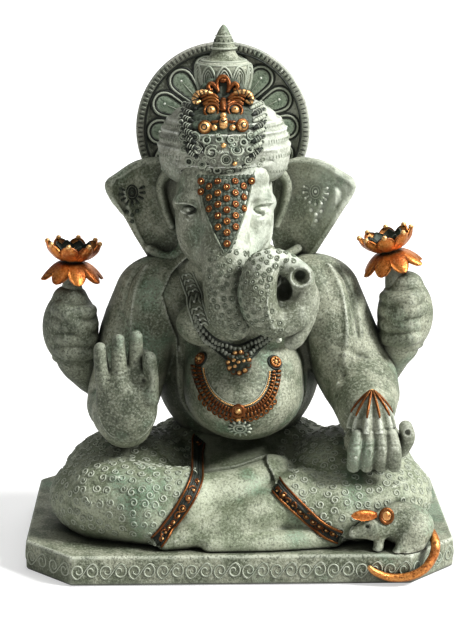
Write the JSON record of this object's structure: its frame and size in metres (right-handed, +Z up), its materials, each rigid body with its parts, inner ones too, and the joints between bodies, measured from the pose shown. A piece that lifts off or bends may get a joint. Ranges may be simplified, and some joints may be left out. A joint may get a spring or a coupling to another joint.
{
  "type": "seated elephant-headed idol",
  "caption": "Seated four-armed elephant-headed deity idol on a flat octagonal plinth, with halo, lotus flowers, sweet and mouse, green patinated brass with copper-toned ornament.",
  "frame": {"origin": "on the ground, under the middle of the whole object's bounding box", "axes": "+Z up, the figure faces -Y, +X towards the figure's own left (the viewer's right)"},
  "size_m": [0.29, 0.2012, 0.3602],
  "materials": {
    "green_patina": "matte",
    "copper_wash": "satin",
    "bright_steel": "satin"
  },
  "bodies": {
    "root": {"belly_chain": "copper_wash", "brow_panel": "copper_wash", "chain_boss": "copper_wash", "crown_cap": "green_patina", "crown_crest": "copper_wash", "crown_dome": "green_patina", "finial": "green_patina", "halo": "green_patina", "halo_nut": "bright_steel", "halo_stud": "bright_steel", "head": "green_patina", "lap": "green_patina", "left_bracelet": "green_patina", "left_ear": "green_patina", "left_front_arm": "green_patina", "left_giving_hand": "green_patina", "left_hem_band": "copper_wash", "left_leg": "green_patina", "left_lotus": "copper_wash", "left_lotus_stem": "green_patina", "left_rear_arm": "green_patina", "left_rear_fist": "green_patina", "left_rosette": "copper_wash", "left_tusk": "green_patina", "medallion": "copper_wash", "modak": "copper_wash", "mouse": "green_patina", "mouse_left_ear": "copper_wash", "mouse_right_ear": "copper_wash", "mouse_tail": "copper_wash", "necklace": "green_patina", "pendant_flower": "green_patina", "plinth": "green_patina", "plinth_bolt_1": "bright_steel", "plinth_bolt_2": "bright_steel", "plinth_bolt_3": "bright_steel", "plinth_bolt_4": "bright_steel", "right_ear": "green_patina", "right_front_arm": "green_patina", "right_hem_band": "copper_wash", "right_leg": "green_patina", "right_lotus": "copper_wash", "right_lotus_stem": "green_patina", "right_raised_hand": "green_patina", "right_rear_arm": "green_patina", "right_rear_fist": "green_patina", "right_rosette": "copper_wash", "torso": "green_patina", "trunk": "green_patina"}
  },
  "joints": []
}
